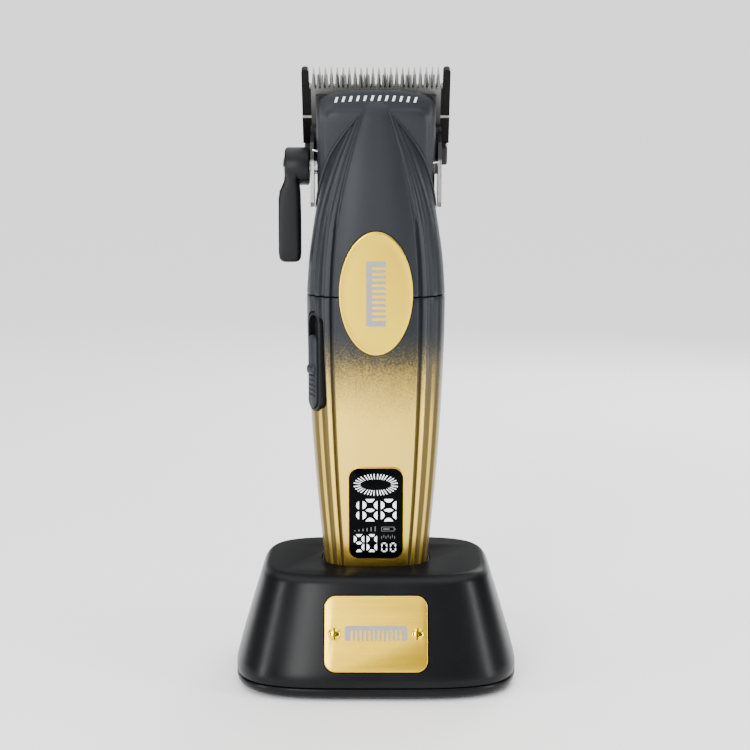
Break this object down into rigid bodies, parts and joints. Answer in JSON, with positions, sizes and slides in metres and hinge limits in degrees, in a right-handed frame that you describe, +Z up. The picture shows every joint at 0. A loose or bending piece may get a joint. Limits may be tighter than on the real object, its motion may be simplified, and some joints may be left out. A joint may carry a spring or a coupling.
{
  "type": "hair clipper",
  "caption": "Cordless hair clipper with taper lever, display window and two-tone fluted housing, standing in its charging stand.",
  "frame": {"origin": "on the floor, under the middle of the stand's footprint", "axes": "+Z up along the clipper, -Y towards the badge and display side, +X to the right seen from that side"},
  "size_m": [0.0884, 0.076, 0.1918],
  "materials": {
    "cover": "slate-grey satin",
    "sleeve": "slate-to-gold speckled metallic paint",
    "gold_plate": "pale gold anodised, finely brushed",
    "badge": "satin pale gold",
    "gold_screw": "polished, gold plated",
    "stand_black": "gloss black",
    "black_plastic": "satin black",
    "black_steel": "black diamond-like coating on steel",
    "bright_steel": "ground steel",
    "spring_steel": "spring steel",
    "chrome_cap": "polished",
    "magnet": "dark ferrite",
    "rubber": "matt black",
    "board": "green solder mask on glass-epoxy board",
    "cell": "blue shrink wrap",
    "white_plastic": "natural white",
    "lens": "smoked black clear window",
    "contact": "gold plated"
  },
  "bodies": {
    "stand": {"stand_shell": "stand_black", "stand_cup": "black_plastic", "base_plate": "black_plastic", "rubber_foot_1": "rubber", "rubber_foot_2": "rubber", "rubber_foot_3": "rubber", "rubber_foot_4": "rubber", "base_screw_left": "bright_steel", "base_screw_right": "bright_steel", "name_plate": "gold_plate", "plate_screw_left": "gold_screw", "plate_screw_right": "gold_screw", "ballast": "bright_steel", "stand_board": "board", "charge_post_left": "contact", "charge_post_right": "contact", "power_inlet": "black_plastic"},
    "clipper": {"lower_sleeve": "sleeve", "bottom_cap": "black_plastic", "charge_pad_left": "contact", "charge_pad_right": "contact", "cover_front": "cover", "cover_rear": "cover", "oval_badge": "badge", "display_window": "lens", "display_board": "board", "battery_cell": "cell", "battery_holder": "white_plastic", "main_board": "board", "cover_screw_left": "bright_steel", "cover_screw_right": "bright_steel", "switch_surround": "black_plastic", "switch_unit": "black_plastic", "fixed_blade": "black_steel", "blade_mount": "black_plastic", "head_chassis": "bright_steel", "blade_screw_left": "bright_steel", "blade_screw_right": "bright_steel", "motor_can": "bright_steel", "motor_cap": "white_plastic", "magnet_left": "magnet", "magnet_right": "magnet", "motor_bracket": "bright_steel"},
    "power_slider": {"power_slider": "black_plastic"},
    "taper_lever": {"lever_arm": "black_plastic", "lever_cap": "chrome_cap", "lever_shaft": "bright_steel"},
    "taper_carriage": {"taper_carriage": "bright_steel", "tension_spring": "spring_steel"},
    "cutter": {"moving_blade": "bright_steel", "drive_yoke": "white_plastic"},
    "rotor": {"motor_rotor": "bright_steel", "eccentric": "bright_steel", "drive_bearing": "chrome_cap"}
  },
  "joints": [
    {"name": "lift_out", "type": "slide", "parent": "stand", "child": "clipper", "axis": [0, 0, 1], "range_m": [0, 0.06]},
    {"name": "taper_swing", "type": "hinge", "parent": "clipper", "child": "taper_lever", "pos_m": [-0.0245, 0, 0.1611], "axis": [-1, 0, 0], "range_deg": [0, 60]},
    {"name": "taper_slide", "type": "slide", "parent": "clipper", "child": "taper_carriage", "axis": [0, -0.5, 0.866], "range_m": [0, 0.0015]},
    {"name": "cutter_stroke", "type": "slide", "parent": "taper_carriage", "child": "cutter", "axis": [1, 0, 0], "range_m": [-0.0009, 0.0009]},
    {"name": "rotor_spin", "type": "hinge", "parent": "clipper", "child": "rotor", "pos_m": [0, -0.00275, 0.12], "axis": [0, 0, 1], "continuous": true},
    {"name": "power_slide", "type": "slide", "parent": "clipper", "child": "power_slider", "axis": [0, 0, 1], "range_m": [0, 0.0055]}
  ],
  "couplings": [
    {"joint": "taper_swing", "follows": "taper_slide", "rad_per_m": 698}
  ]
}
